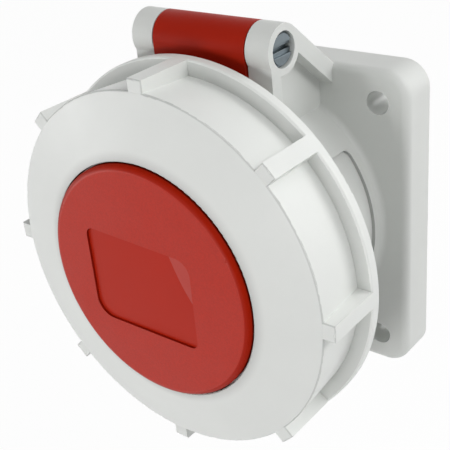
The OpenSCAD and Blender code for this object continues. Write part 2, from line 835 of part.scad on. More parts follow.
module lid_plate() {
    inner_wall_r = gasket_in_r - gasket_play;
    outer_wall_r = gasket_out_r + gasket_play;
    inner_foot_r = inner_wall_r - inner_wall;
    wall_z = plate_z - gasket_wall_h;
    rotate_extrude() polygon(
        [[0, plate_z], [inner_foot_r, plate_z], [inner_foot_r, wall_z], [inner_wall_r, wall_z],
         [inner_wall_r, plate_z], [outer_wall_r, plate_z], [outer_wall_r, wall_z], [plate_r, wall_z],
         [plate_r, plate_top], [pad_r, plate_top], [pad_r, pad_top], [hub_r, pad_top], [hub_r, disc_z],
         [hub_r - hub_wall, disc_z], [hub_r - hub_wall, plate_top], [0, plate_top]]);
}

// The arched bridge that carries the lid: inside the ring's skirt and outside the shroud
module lid_bridge() {
    intersection() {
        union() {
            tube(bridge_out_r, bridge_in_r, arm_rear_z, plate_top);
            tube(bridge_out_r, shroud_r, plate_z, plate_top);
        }
        translate([-barrel_half, 0, 0]) cube([2 * barrel_half, rim_r, plate_top + overcut]);
    }
    difference() {
        translate([-barrel_half, bridge_in_r / 2, arm_rear_z])
            cube([2 * barrel_half, hinge_y - bridge_in_r / 2, arm_t]);
        translate([0, 0, arm_rear_z - overcut]) cylinder(h = arm_t + 2 * overcut, r = bridge_in_r);
    }
    crossbar(hinge_r, -barrel_half, barrel_half, hinge_y, hinge_z);
}

module lid() {
    color(RED) to_panel() difference() {
        union() {
            lid_plate();
            lid_bridge();
        }
        crossbar(pin_hole_r, -barrel_half - overcut, barrel_half + overcut, hinge_y, hinge_z);
        for (a = disc_screw_angles) at_angle(a, disc_screw_circle_r) countersunk_cut(plate_z, plate_t);
    }
}

module lid_gasket() {
    color(BLACK) to_panel() tube(gasket_out_r, gasket_in_r, lid_gasket_z, plate_z);
}

// The recess in the disc: four unlike corners, and an upper edge that falls to the right
module recess_2d() {
    w = recess_w / 2;
    h = recess_h / 2;
    translate(recess_centre)
        soft_polygon([[-w, -h], [w, -h], [w, h - recess_fall], [-w, h]], recess_corner_r);
}

// The front disc, with bosses for its screws; a cone lifts the recess's floor at its upper right
module lid_disc() {
    floor_z = disc_top - recess_depth;
    hole_h = disc_z + disc_screw_bite + disc_screw_end_gap - plate_top;
    color(RED) to_panel() difference() {
        union() {
            rotate_extrude() soft_polygon(
                [[0, disc_z], [disc_r, disc_z], [disc_r, disc_top], [0, disc_top]],
                [0, 0, disc_edge_r, 0]);
            for (a = disc_screw_angles) at_angle(a, disc_screw_circle_r)
                translate([0, 0, plate_top]) cylinder(h = disc_z - plate_top + eps, r = disc_boss_r);
        }
        difference() {
            translate([0, 0, floor_z]) linear_extrude(recess_depth + overcut) recess_2d();
            translate([ramp_centre[0], ramp_centre[1], floor_z])
                cylinder(h = recess_depth, r1 = ramp_r, r2 = ramp_r - ramp_reach, $fn = 180);
        }
        for (a = disc_screw_angles) at_angle(a, disc_screw_circle_r)
            translate([0, 0, plate_top - overcut])
                cylinder(h = hole_h + overcut, r = small_screw_r + screw_play);
    }
}

module disc_screws() {
    length = disc_z + disc_screw_bite - plate_z;
    color(STEEL) to_panel() for (a = disc_screw_angles) at_angle(a, disc_screw_circle_r)
        countersunk_screw(plate_z, length);
}

// --- Locking ring -------------------------------------------------------------------------

// Height of the crown's outer surface at radius r
function crown_at(r) = ring_edge_z + crown_rise * (ring_front_r - r) / (ring_front_r - ring_hole_r);

module ring_shell() {
    front_edge_r = 0.5;
    hole_edge_r = 0.25;
    crown_extra = 0.2;
    skin = ring_wall + crown_extra;
    rotate_extrude() soft_polygon(
        [[skirt_in_r, ring_rear_z], [rim_r, ring_rear_z], [rim_r, ring_rear_z + rim_t],
         [ring_rear_r, ring_rear_z + rim_t], [ring_front_r, ring_edge_z], [ring_hole_r, crown_z],
         [ring_hole_r, lip_top], [lip_r, lip_top], [lip_r, lip_z], [lip_pad_r, lip_z],
         [lip_pad_r, crown_at(lip_pad_r) - skin], [skirt_in_r, crown_at(skirt_in_r) - skin]],
        [0, rim_edge_r, rim_edge_r, 0, front_edge_r, hole_edge_r, 0, 0, 0, 0, 0, 0]);
}

module grip_rib() {
    rib_edge_r = 0.4;
    intersection() {
        sideways(ring_root_r, rim_r + overcut) soft_polygon(
            [[-rib_w / 2, ring_rear_z], [rib_w / 2, ring_rear_z], [rib_w / 2, ring_edge_z],
             [-rib_w / 2, ring_edge_z]], [0, 0, rib_edge_r, rib_edge_r]);
        rotate_extrude() soft_polygon(
            [[ring_root_r, ring_rear_z], [rim_r, ring_rear_z], [rim_r, ring_edge_z],
             [ring_root_r, ring_edge_z]], [0, rim_edge_r, rib_edge_r, 0]);
    }
}

module ring_lug(a) {
    translate([0, 0, ring_lug_front_z - ring_lug_t]) linear_extrude(ring_lug_t)
        sector_2d(ring_root_r, ring_lug_in_r, a - lug_half_angle, a + lug_half_angle);
}

module locking_ring() {
    color(GREY) to_panel() {
        ring_shell();
        for (i = [0 : rib_count - 1]) rotate([0, 0, i * 360 / rib_count]) grip_rib();
        for (a = lug_angles) ring_lug(a + lock_angle);
    }
}

housing();
flange_gasket();
contact_carrier();
carrier_seal();
carrier_screws();
terminal_cover();
cover_screw();
sleeve_l1();
sleeve_l2();
sleeve_l3();
sleeve_n();
sleeve_earth();
contact_springs();
terminal_screws();
hinge_pin();
lid();
lid_gasket();
lid_disc();
disc_screws();
locking_ring();
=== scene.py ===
import json
import math

import bpy
from bpy.props import FloatProperty, FloatVectorProperty, PointerProperty
from mathutils import Matrix, Vector


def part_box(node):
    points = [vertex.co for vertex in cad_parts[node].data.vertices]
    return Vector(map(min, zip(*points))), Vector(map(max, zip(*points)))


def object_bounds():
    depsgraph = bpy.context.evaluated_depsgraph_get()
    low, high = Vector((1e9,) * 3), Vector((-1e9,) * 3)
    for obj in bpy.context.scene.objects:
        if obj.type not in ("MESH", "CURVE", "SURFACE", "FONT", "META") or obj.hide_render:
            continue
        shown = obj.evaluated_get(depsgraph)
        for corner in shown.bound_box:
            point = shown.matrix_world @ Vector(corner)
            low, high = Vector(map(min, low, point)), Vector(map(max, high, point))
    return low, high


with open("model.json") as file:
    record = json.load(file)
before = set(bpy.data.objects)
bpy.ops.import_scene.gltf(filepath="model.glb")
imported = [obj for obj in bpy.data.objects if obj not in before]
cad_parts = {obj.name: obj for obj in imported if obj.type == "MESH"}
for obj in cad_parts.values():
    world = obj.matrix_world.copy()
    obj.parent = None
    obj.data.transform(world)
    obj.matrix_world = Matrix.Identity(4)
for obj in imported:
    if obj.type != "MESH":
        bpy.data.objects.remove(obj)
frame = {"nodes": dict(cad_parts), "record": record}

bl_info = {
    "name": "Panel socket dresser",
    "version": (1, 0, 0),
    "blender": (4, 5, 0),
    "location": "3D View > Sidebar > Panel Socket",
    "description": "Finishes and stages an industrial panel socket with a bayonet lid",
    "category": "Object",
}

CAD_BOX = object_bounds()
MM = 0.001
WHITE = (1, 1, 1)
BLACK = (0, 0, 0)

# Slack when faces are told apart by their place
FLAT = 0.01 * MM
# How far a face looks to the front: squarely, mostly, or no more than half
SQUARE_ON = 0.999
FORWARD = 0.9
SIDEWAYS = 0.5

# Housing: where the sunk field's walls run, and how far a face there looks off the axis at most
FIELD_REACH = (30.1 * MM, 31.05 * MM)
FIELD_FRONT = -21.9 * MM
FIELD_BACK = -13 * MM
FIELD_OUTWARD = 0.7

# Locking ring: its crown with the rounded edge, the rim behind it, and its eight ribs
CROWN_FALL = 8 * MM
CROWN_REACH = 38 * MM
CROWN_EDGE_LEVELS = (0.25, 0.85)
RIM_T = 2.75 * MM
HOLE_WALL = 0.5 * MM
# Width of the painted shade on the ring's crown next to the disc
PAINTED_SHADE_WIDTH = 3 * MM
RIB_STEP = math.radians(45)
RIB_HALF = 1.7 * MM
RIB_ROOT = 43.6 * MM

# Disc: its front recess, and how far its rounding looks to the front where one finish ends
RECESS_DEPTH = 0.6 * MM
RECESS_REACH = 24 * MM
DISC_ROUNDING = 1.5 * MM
# The rim's strips are painted darker step by step towards the foot, as painted shade
SHOULDER_LEVELS = (0.97, 0.9, 0.78, 0.6)
SHOULDER_POWER = 0.35
# Where the rim's foot starts, which is painted dark as painted shade at the gap
FOOT_LEVEL = 0.18

# Specular level, unevenness of colour, and the step from satin to a duller or sleeker face
FACE_SHINE = 0.37
RAMP_SHINE = 0.44
RIM_SHINE = 0.02
FACE_MOTTLE = 0.07
RIM_MOTTLE = 0.02
ROUGHNESS_STEP = 0.04

# Share of the grain's depth where the mould is polished, lightly grained or coarse
POLISHED_GRAIN = 0.2
LIGHT_GRAIN = 0.6
COARSE_GRAIN = 2.5

# Part of a noise's range that a roughness or a colour is spread over
ROUGHNESS_BAND = (0.3, 0.7)
COLOUR_BAND = (0.35, 0.65)
# Agreement of the softened normal with the true one where the painted edge highlight starts and is
# whole
EDGE_BAND = (0.998, 0.93)
BEVEL_SAMPLES = 6
PLASTIC_IOR = 1.48


def srgb(red, green, blue):
    """Linear colour of an 8-bit display colour."""
    def linear(value):
        v = value / 255
        return v / 12.92 if v <= 0.04045 else ((v + 0.055) / 1.055) ** 2.4
    return (linear(red), linear(green), linear(blue))


# --- Settings ---------------------------------------------------------------------------------

class SocketFinish(bpy.types.PropertyGroup):
    """Colours and surface grain of the socket's materials."""

    housing_colour: FloatVectorProperty(
        name="Housing", description="Moulded grey of flange, collar and ears",
        subtype="COLOR", size=3, min=0, max=1, default=srgb(214, 216, 213))
    ring_colour: FloatVectorProperty(
        name="Locking ring", description="Moulded grey of the bayonet ring",
        subtype="COLOR", size=3, min=0, max=1, default=srgb(228, 230, 227))
    lid_colour: FloatVectorProperty(
        name="Lid", description="Signal red of the lid, its disc and its barrel",
        subtype="COLOR", size=3, min=0, max=1, default=srgb(177, 34, 10))
    insert_colour: FloatVectorProperty(
        name="Insert", description="Dark moulding compound of the contact carrier",
        subtype="COLOR", size=3, min=0, max=1, default=srgb(52, 54, 57))
    rubber_colour: FloatVectorProperty(
        name="Seals", description="Rubber of the gaskets",
        subtype="COLOR", size=3, min=0, max=1, default=srgb(34, 34, 36))
    brass_colour: FloatVectorProperty(
        name="Contacts", description="Brass of the contact sleeves",
        subtype="COLOR", size=3, min=0, max=1, default=srgb(206, 172, 104))
    steel_colour: FloatVectorProperty(
        name="Screws", description="Zinc-plated steel of screws and springs",
        subtype="COLOR", size=3, min=0, max=1, default=srgb(188, 192, 196))
    # Painted shade: near-black colour of the hole's wall next to the disc, where the gap is in
    # shade
    painted_gap_colour: FloatVectorProperty(
        name="Shade_in_gap", description="What gathers in the gap between the ring and the disc",
        subtype="COLOR", size=3, min=0, max=1, default=srgb(46, 42, 39))
    pin_colour: FloatVectorProperty(
        name="Hinge pin", description="Dull blue-grey of the hinge pin",
        subtype="COLOR", size=3, min=0, max=1, default=srgb(120, 129, 134))
    grain: FloatProperty(
        name="Grain", description="Width of the moulded grain's cells",
        subtype="DISTANCE", unit="LENGTH", min=0.00005, max=0.002, default=0.00035)
    grain_depth: FloatProperty(
        name="Grain depth", description="Depth of the moulded grain",
        subtype="DISTANCE", unit="LENGTH", min=0, max=0.0001, default=0.000012)
    edge: FloatProperty(
        name="Edge rounding", description="Radius that moulded edges are softened by",
        subtype="DISTANCE", unit="LENGTH", min=0, max=0.002, default=0.00014)
    roughness: FloatProperty(
        name="Roughness", description="Roughness that all the moulded plastics are near",
        subtype="FACTOR", min=0, max=1, default=0.38)
    # Painted highlight: the housing's edges are lightened towards white
    edge_highlight: FloatProperty(
        name="Lightened edges", description="How far the housing's edges are lightened towards white",
        subtype="FACTOR", min=0, max=1, default=0.5)
    # Painted shade: the lip's front is darkened where the drum shades it
    lip_painted_shade: FloatProperty(
        name="Lip shade", description="Share of the ring's colour that the front of its lip keeps",
        subtype="FACTOR", min=0, max=1, default=0.83)
    # Painted shade: the crown's rounded edge is darkened
    edge_painted_shade: FloatProperty(
        name="Edge shade",
        description="Share of the ring's colour that the crown's rounded edge keeps",
        subtype="FACTOR", min=0, max=1, default=0.78)
    # Painted shade: the walls of the collar field's edge are darkened
    field_painted_shade: FloatProperty(
        name="Field's edge",
        description="Share of the housing's colour that the collar field's edge keeps",
        subtype="FACTOR", min=0, max=1, default=0.62)
    # Painted shade: how far the ring's crown is darkened next to the disc
    painted_shade_near_disc: FloatProperty(
        name="Shade_by_disc", description="How far dust darkens the ring's crown next to the disc",
        subtype="FACTOR", min=0, max=1, default=0.22)
    # Painted shade: the lid and its barrel are darkened, and the disc's rim blends towards that
    lid_painted_shade: FloatProperty(
        name="Lid shade",
        description="Share of the lid's colour that its barrel and the disc's rim keep",
        subtype="FACTOR", min=0, max=1, default=0.78)
    # Painted shade: the foot of the disc's rim is darkened
    foot_painted_shade: FloatProperty(
        name="Disc's foot",
        description="Share of the lid's colour that the foot of the disc's rim keeps",
        subtype="FACTOR", min=0, max=1, default=0.4)
    # Painted shade: the walls of the disc's recess are darkened
    recess_painted_shade: FloatProperty(
        name="Recess wall", description="Share of the lid's colour that the recess's walls keep",
        subtype="FACTOR", min=0, max=1, default=0.65)


class SocketStudio(bpy.types.PropertyGroup):
    """Camera, lamps and floor."""

    azimuth: FloatProperty(
        name="Azimuth", description="Camera's angle round the socket, from the front",
        subtype="ANGLE", default=math.radians(40.535))
    elevation: FloatProperty(
        name="Elevation", description="Camera's angle above the socket's axis",
        subtype="ANGLE", default=math.radians(27.45))
    roll: FloatProperty(
        name="Roll", description="Turn of the camera about its own axis",
        subtype="ANGLE", default=math.radians(-5.588))
    lens: FloatProperty(
        name="Lens", description="Focal length on a 36 mm sensor",
        subtype="DISTANCE_CAMERA", min=10, default=74.06)
    eye: FloatVectorProperty(
        name="Camera place", description="Where the camera stands",
        subtype="TRANSLATION", size=3, default=(0.125728, -0.176249, 0.102072))
    floor_drop: FloatProperty(
        name="Floor drop", description="Distance of the floor below the locking ring",
        subtype="DISTANCE", unit="LENGTH", min=0.001, default=0.045)
    floor_tone: FloatProperty(
        name="Floor tone", description="Grey value of floor and backdrop",
        subtype="FACTOR", min=0, max=1, default=0.82)
    lamp_level: FloatProperty(
        name="Lamps", description="Brightness of all lamps together",
        subtype="FACTOR", min=0, max=4, default=1.0)
    sky: FloatProperty(
        name="Surround", description="Brightness of the even light all round",
        min=0, max=2, default=0.09)


def finish_settings():
    return bpy.context.scene.socket_finish


def studio_settings():
    return bpy.context.scene.socket_studio


# --- Materials --------------------------------------------------------------------------------

def part_way(start, end, share):
    """A number part of the way from one to another."""
    return start + (end - start) * share


def blended(first, second, share):
    """A colour part of the way from one to another."""
    return [part_way(a, b, share) for a, b in zip(first, second)]


def shaded(colour, share):
    """A colour that keeps only a share of its light."""
    return [c * share for c in colour]


class Nodes:
    """A short way to write a material's node tree."""

    def __init__(self, name):
        self.material = bpy.data.materials.new(name)
        self.material.use_nodes = True
        self.tree = self.material.node_tree
        self.shader = self.tree.nodes["Principled BSDF"]

    def add(self, kind, **settings):
        node = self.tree.nodes.new(kind)
        for key, value in settings.items():
            setattr(node, key, value)
        return node

    def link(self, source, output, target, socket):
        self.tree.links.new(source.outputs[output], target.inputs[socket])

    def place(self):
        """Coordinates fixed to the piece, in metres."""
        return self.add("ShaderNodeTexCoord")

    def noise(self, place, size, detail, rough=0.5):
        """A noise whose patches are about as wide as the size."""
        node = self.add("ShaderNodeTexNoise")
        node.inputs["Scale"].default_value = 1 / size
        node.inputs["Detail"].default_value = detail
        node.inputs["Roughness"].default_value = rough
        self.link(place, "Object", node, "Vector")
        return node

    def remap(self, source, output, given, wanted=(0, 1), **settings):
        """Maps a value from one range to another, and returns the node that does it."""
        node = self.add("ShaderNodeMapRange", **settings)
        node.inputs["From Min"].default_value, node.inputs["From Max"].default_value = given
        node.inputs["To Min"].default_value, node.inputs["To Max"].default_value = wanted
        self.link(source, output, node, "Value")
        return node

    def roughen(self, source, low, high):
        """Varies the roughness from low to high with a noise."""
        amount = self.remap(source, "Fac", ROUGHNESS_BAND, (low, high))
        self.link(amount, "Result", self.shader, "Roughness")

    def tint(self, source, colour, change):
        """Varies the base colour a little with a noise, and returns the node that holds it."""
        node = self.add("ShaderNodeMix", data_type="RGBA")
        node.inputs["A"].default_value = (*[c * (1 - change) for c in colour], 1)
        node.inputs["B"].default_value = (*[min(1, c * (1 + change)) for c in colour], 1)
        self.link(self.remap(source, "Fac", COLOUR_BAND), "Result", node, "Factor")
        self.link(node, "Result", self.shader, "Base Color")
        return node

    def cover(self, base, colour, amount):
        """Turns the base colour into another by an amount, and returns the node that holds it."""
        node = self.add("ShaderNodeMix", data_type="RGBA")
        node.inputs["B"].default_value = (*colour, 1)
        self.link(amount, "Result", node, "Factor")
        self.link(base, "Result", node, "A")
        self.link(node, "Result", self.shader, "Base Color")
        return node

    def relief(self, height, depth, edge):
        """Bump from a noise, over edges softened by a radius; returns the softened normal."""
        bump = self.add("ShaderNodeBump")
        bump.inputs["Strength"].default_value = 1.0
        bump.inputs["Distance"].default_value = depth
        self.link(height, "Fac", bump, "Height")
        self.link(bump, "Normal", self.shader, "Normal")
        if edge == 0:
            return None
        soft = self.add("ShaderNodeBevel", samples=BEVEL_SAMPLES)
        soft.inputs["Radius"].default_value = edge
        self.link(soft, "Normal", bump, "Normal")
        return soft

    def painted_shade_near_disc(self, place, base, inner, outer, share):
        """Darkens the base colour near a circle about the socket's axis, as painted shade."""
        across = self.add("ShaderNodeVectorMath", operation="MULTIPLY")
        across.inputs[1].default_value = (1, 0, 1)
        self.link(place, "Object", across, 0)
        reach = self.add("ShaderNodeVectorMath", operation="LENGTH")
        self.link(across, "Vector", reach, 0)
        amount = self.remap(reach, "Value", (inner, outer), (share, 0),
                            interpolation_type="SMOOTHSTEP")
        return self.cover(base, BLACK, amount)

    def paint_edge_highlight(self, soft, base, colour):
        """Turns the base colour into another where the softened normal leaves the true one: a
        painted highlight along edges.
        """
        surface = self.add("ShaderNodeNewGeometry")
        agree = self.add("ShaderNodeVectorMath", operation="DOT_PRODUCT")
        self.link(soft, "Normal", agree, 0)
        self.link(surface, "Normal", agree, 1)
        return self.cover(base, colour, self.remap(agree, "Value", EDGE_BAND))


def moulded_plastic(name, colour, roughness, grain_depth, edge=0, mottle=0.012, shine=0.42,
                    highlight_colour=None, cloud=18 * MM, painted_shade_near_disc=None):
    """Satin injection-moulded plastic with a spark-eroded grain. Its colour varies by mottle over
    patches as wide as cloud. A circle's inner and outer reach and a share may be given, by which
    the colour is darkened next to it as painted shade, and an edge colour, towards which edges are
    lightened as a painted highlight."""
    m = Nodes(name)
    place = m.place()
    base = m.tint(m.noise(place, size=cloud, detail=3), colour, change=mottle)
    if painted_shade_near_disc:
        base = m.painted_shade_near_disc(place, base, *painted_shade_near_disc)
    m.roughen(m.noise(place, size=6 * MM, detail=4), low=roughness - 0.04, high=roughness + 0.05)
    grain = m.noise(place, size=finish_settings().grain, detail=3, rough=0.6)
    soft = m.relief(grain, grain_depth, edge)
    if highlight_colour:
        m.paint_edge_highlight(soft, base, highlight_colour)
    m.shader.inputs["IOR"].default_value = PLASTIC_IOR
    m.shader.inputs["Specular IOR Level"].default_value = shine
    return m.material


def plated_metal(name, colour, roughness, edge):
    """Turned or stamped metal with fine working marks."""
    m = Nodes(name)
    place = m.place()
    m.tint(m.noise(place, size=3 * MM, detail=4), colour, change=0.06)
    m.roughen(m.noise(place, size=1.2 * MM, detail=4), low=roughness - 0.07, high=roughness + 0.1)
    m.relief(m.noise(place, size=0.35 * MM, detail=2, rough=0.7), depth=0.006 * MM, edge=edge)
    m.shader.inputs["Metallic"].default_value = 1.0
    return m.material


def rubber(name, colour):
    """Soft sealing rubber with a dull bloom."""
    m = Nodes(name)
    place = m.place()
    m.tint(m.noise(place, size=4 * MM, detail=3), colour, change=0.12)
    m.roughen(m.noise(place, size=2 * MM, detail=3), low=0.66, high=0.8)
    m.relief(m.noise(place, size=0.25 * MM, detail=3), depth=0.015 * MM, edge=0)
    m.shader.inputs["Specular IOR Level"].default_value = 0.3
    return m.material


def dress(node, *materials, kind=None):
    """Gives a CAD node one material all over, or a material to each kind of polygon."""
    mesh = frame["nodes"][node].data
    mesh.materials.clear()
    for material in materials:
        mesh.materials.append(material)
    if kind:
        for polygon in mesh.polygons:
            polygon.material_index = kind(polygon)


# --- Pieces -----------------------------------------------------------------------------------

def housing_kinds():
    """Sorts the housing's faces: plain ones, the walls of its four fixing holes, which a polished
    core pin leaves glossy and which take a lighter grey as painted light, and the narrow walls of
    the bare field that is sunk into the collar, painted darker as painted shade."""
    plain, hole, field = range(3)
    bolts = next(m for m in frame["record"]["mounts"] if m["name"] == "panel_bolts")["dims"]
    half, hole_reach = bolts["spacing_x_mm"] / 2 * MM, bolts["hole_r_mm"] * MM + FLAT

    def kind(polygon):
        x, y, z = polygon.center
        reach = math.hypot(x, z)
        outward = (polygon.normal.x * x + polygon.normal.z * z) / reach
        in_field = FIELD_REACH[0] < reach < FIELD_REACH[1] and FIELD_FRONT < y < FIELD_BACK
        if in_field and abs(outward) < FIELD_OUTWARD:
            return field
        at_bolt = math.hypot(abs(x) - half, abs(z) - half) < hole_reach
        return hole if at_bolt and abs(polygon.normal.y) < SIDEWAYS else plain
    return kind


class SocketHousing(bpy.types.Operator):
    """Finish the grey housing: flange, collar, shroud and ears"""
    bl_idname = "socket.housing"
    bl_label = "Housing"

    def execute(self, context):
        look = finish_settings()
        grey, depth = look.housing_colour, look.grain_depth
        # The housing's edges are lightened towards white as a painted highlight
        plain = moulded_plastic("housing_plastic", grey, look.roughness + 0.03, depth, look.edge,
                                highlight_colour=blended(grey, WHITE, look.edge_highlight))
        # The holes' walls take the ring's lighter grey as painted light; their gloss is real
        hole = moulded_plastic("hole_painted_light_plastic", look.ring_colour, roughness=0.22,
                               grain_depth=depth * POLISHED_GRAIN, shine=0.6)
        # The collar field's edge walls are painted darker as painted shade
        field = moulded_plastic("field_edge_painted_shade_plastic", shaded(grey, look.field_painted_shade),
                                look.roughness, depth)
        dress("housing", plain, hole, field, kind=housing_kinds())
        return {"FINISHED"}


def ring_kinds(hole_reach):
    """Sorts the ring's faces: plain ones, its crown's rounded edge, the front of the lip behind
    the crown, and the wall of its hole next to the disc; the last three are painted darker as
    painted shade, the hole's wall near black."""
    plain, edge, lip, gap_shade = range(4)
    low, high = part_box("locking_ring")
    crown_back, rim_front = low[1] + CROWN_FALL, high[1] - RIM_T + FLAT

    def kind(polygon):
        x, y, z = polygon.center
        level, reach = -polygon.normal.y, math.hypot(x, z)
        off_rib = (math.atan2(z, x) + RIB_STEP / 2) % RIB_STEP - RIB_STEP / 2
        on_rib = abs(reach * math.sin(off_rib)) < RIB_HALF and reach < RIB_ROOT
        if reach < hole_reach + HOLE_WALL and level < SIDEWAYS:
            return gap_shade
        if y > crown_back:
            return lip if level > FORWARD and y < rim_front else plain
        rounded = CROWN_EDGE_LEVELS[0] < level < CROWN_EDGE_LEVELS[1]
        return edge if rounded and reach > CROWN_REACH and not on_rib else plain
    return kind


class SocketLockingRing(bpy.types.Operator):
    """Finish the bayonet locking ring"""
    bl_idname = "socket.locking_ring"
    bl_label = "Locking ring"

    def execute(self, context):
        look = finish_settings()
        grey, depth = look.ring_colour, look.grain_depth * LIGHT_GRAIN
        disc_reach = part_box("lid_disc")[1][0]
        # The ring's crown is darkened next to the disc as painted shade
        plain = moulded_plastic("ring_plastic", grey, look.roughness, depth,
                                painted_shade_near_disc=(disc_reach, disc_reach + PAINTED_SHADE_WIDTH, look.painted_shade_near_disc))
        # The crown's rounded edge is painted darker as painted shade
        edge = moulded_plastic("ring_edge_painted_shade_plastic", shaded(grey, look.edge_painted_shade), look.roughness,
                               depth, shine=0.2)
        # The lip's front is painted darker as painted shade
        lip = moulded_plastic("ring_lip_painted_shade_plastic", shaded(grey, look.lip_painted_shade), look.roughness,
                              depth)
        # The hole's wall next to the disc is painted near black as painted shade
        gap_shade = moulded_plastic("gap_painted_shade", look.painted_gap_colour, roughness=0.7,
                                grain_depth=look.grain_depth, mottle=0.1, shine=0.1)
        dress("locking_ring", plain, edge, lip, gap_shade, kind=ring_kinds(disc_reach))
        return {"FINISHED"}


def disc_kinds():
    """Sorts the disc's faces: the floor, walls and ramp of its recess, its grained front, and the
    strips of its rim's rounding, which count on from the front to the foot. The recess's walls and
    the strips are painted darker as painted shade, the foot darkest."""
    floor, wall, ramp, face = range(4)
    low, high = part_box("lid_disc")
    face_y, flat_reach = low[1], high[0] - DISC_ROUNDING

    def kind(polygon):
        depth, level = polygon.center.y - face_y, -polygon.normal.y
        reach = math.hypot(polygon.center.x, polygon.center.z)
        if depth < FLAT:
            return face
        if reach > RECESS_REACH or depth > RECESS_DEPTH + FLAT:
            tilt = min(1, max(0, (reach - flat_reach) / DISC_ROUNDING))
            bend = math.sqrt(1 - tilt * tilt)
            return face + sum(bend < limit for limit in (*SHOULDER_LEVELS, FOOT_LEVEL))
        if level > SQUARE_ON:
            return floor
        return ramp if level > FORWARD else wall
    return kind


class SocketLid(bpy.types.Operator):
    """Finish the red lid and its front disc"""
    bl_idname = "socket.lid"
    bl_label = "Lid and disc"

    def execute(self, context):
        look = finish_settings()
        # The lid and its barrel take a darker red as painted shade; the disc's rim blends towards
        # it
        red, painted_shade_red = look.lid_colour, shaded(look.lid_colour, look.lid_painted_shade)
        satin, depth = look.roughness, look.grain_depth
        dull, sleek = satin + ROUGHNESS_STEP, satin - ROUGHNESS_STEP
        smooth = depth * POLISHED_GRAIN
        dress("lid", moulded_plastic("lid_painted_shade_plastic", painted_shade_red, dull, depth, look.edge,
                                     mottle=RIM_MOTTLE, shine=0.1))
        floor = moulded_plastic("recess_floor_plastic", red, sleek, smooth,
                                mottle=0.01, shine=0.2)
        # The recess's walls are painted darker as painted shade
        wall = moulded_plastic("recess_wall_painted_shade_plastic", shaded(red, look.recess_painted_shade), satin,
                               smooth, mottle=0.01, shine=0.1)
        ramp = moulded_plastic("recess_ramp_plastic", red, sleek, smooth,
                               mottle=0.01, shine=RAMP_SHINE)
        face = moulded_plastic("disc_face_plastic", red, dull, depth * COARSE_GRAIN,
                               mottle=FACE_MOTTLE, shine=FACE_SHINE, cloud=look.grain)
        # The rim's rounding is painted darker strip by strip towards the foot, as painted shade
        shoulders = []
        for step in range(1, len(SHOULDER_LEVELS) + 1):
            share = (step / len(SHOULDER_LEVELS)) ** SHOULDER_POWER
            shoulders.append(moulded_plastic(
                f"disc_shoulder_painted_shade_plastic_{step}", blended(red, painted_shade_red, share), dull,
                depth * part_way(COARSE_GRAIN, 1, share), look.edge / 2,
                mottle=part_way(FACE_MOTTLE, RIM_MOTTLE, share),
                shine=part_way(FACE_SHINE, RIM_SHINE, share), cloud=look.grain))
        # The foot of the disc's rim is painted dark as painted shade
        foot = moulded_plastic("disc_foot_painted_shade_plastic", shaded(red, look.foot_painted_shade), roughness=0.6,
                               grain_depth=depth, mottle=0.05, shine=RIM_SHINE)
        dress("lid_disc", floor, wall, ramp, face, *shoulders, foot, kind=disc_kinds())
        return {"FINISHED"}


class SocketHingePin(bpy.types.Operator):
    """Finish the slotted hinge pin"""
    bl_idname = "socket.hinge_pin"
    bl_label = "Hinge pin"

    def execute(self, context):
        dress("hinge_pin", plated_metal("pin_metal", finish_settings().pin_colour,
                                        roughness=0.42, edge=0.15 * MM))
        return {"FINISHED"}


class SocketInsert(bpy.types.Operator):
    """Finish the contact carrier, its cover and the brass contacts"""
    bl_idname = "socket.insert"
    bl_label = "Contact insert"

    def execute(self, context):
        look = finish_settings()
        dark = moulded_plastic("insert_plastic", look.insert_colour, look.roughness + 0.08,
                               look.grain_depth, look.edge * 0.6, mottle=0.05)
        for node in ("contact_carrier", "terminal_cover"):
            dress(node, dark)
        brass = plated_metal("contact_brass", look.brass_colour,
                             roughness=0.28, edge=0.12 * MM)
        for node in sorted(frame["nodes"]):
            if node.startswith("sleeve_"):
                dress(node, brass)
        return {"FINISHED"}


class SocketSeals(bpy.types.Operator):
    """Finish the rubber gaskets"""
    bl_idname = "socket.seals"
    bl_label = "Seals"

    def execute(self, context):
        black = rubber("seal_rubber", finish_settings().rubber_colour)
        for node in ("flange_gasket", "carrier_seal", "lid_gasket"):
            dress(node, black)
        return {"FINISHED"}


class SocketScrews(bpy.types.Operator):
    """Finish the screws and the contact springs"""
    bl_idname = "socket.screws"
    bl_label = "Screws and springs"

    def execute(self, context):
        steel = plated_metal("screw_steel", finish_settings().steel_colour,
                             roughness=0.32, edge=0.1 * MM)
        for node in ("carrier_screws", "cover_screw", "terminal_screws", "disc_screws",
                     "contact_springs"):
            dress(node, steel)
        return {"FINISHED"}


# --- Stage ------------------------------------------------------------------------------------

FLOOR_HALF = 3.0
# Share of the floor that is seen as plain white, the rest as paper with its shadow
FLOOR_WHITE = 0.97
SENSOR_WIDTH_MM = 36
CLIP_START = 0.01
LAMP_AIM = Vector((0, -0.03, 0))
LAMP_DISTANCE = 0.8
# Name, angle from the front towards the right, angle over the floor, diameter in metres, watts
LAMPS = (
    ("front_lamp", 5, -5, 0.3, 3.3),
    ("left_lamp", -60, -5, 0.4, 2.05),
    ("top_front_lamp", 0, 45, 0.6, 1.2),
    ("right_top_lamp", 70, 45, 0.6, 0.35),
    ("right_lamp", 92, 38, 0.25, 1.65),
    ("right_back_lamp", 130, 20, 0.6, 1.95),
    ("back_right_lamp", 138, 40, 0.3, 0.65),
    ("back_top_lamp", 150, 55, 0.4, 1.0),
)


def way_to(azimuth, elevation):
    """Direction from the socket to a place at these angles, from the front and over the floor."""
    return Vector((math.sin(azimuth) * math.cos(elevation),
                   -math.cos(azimuth) * math.cos(elevation), math.sin(elevation)))


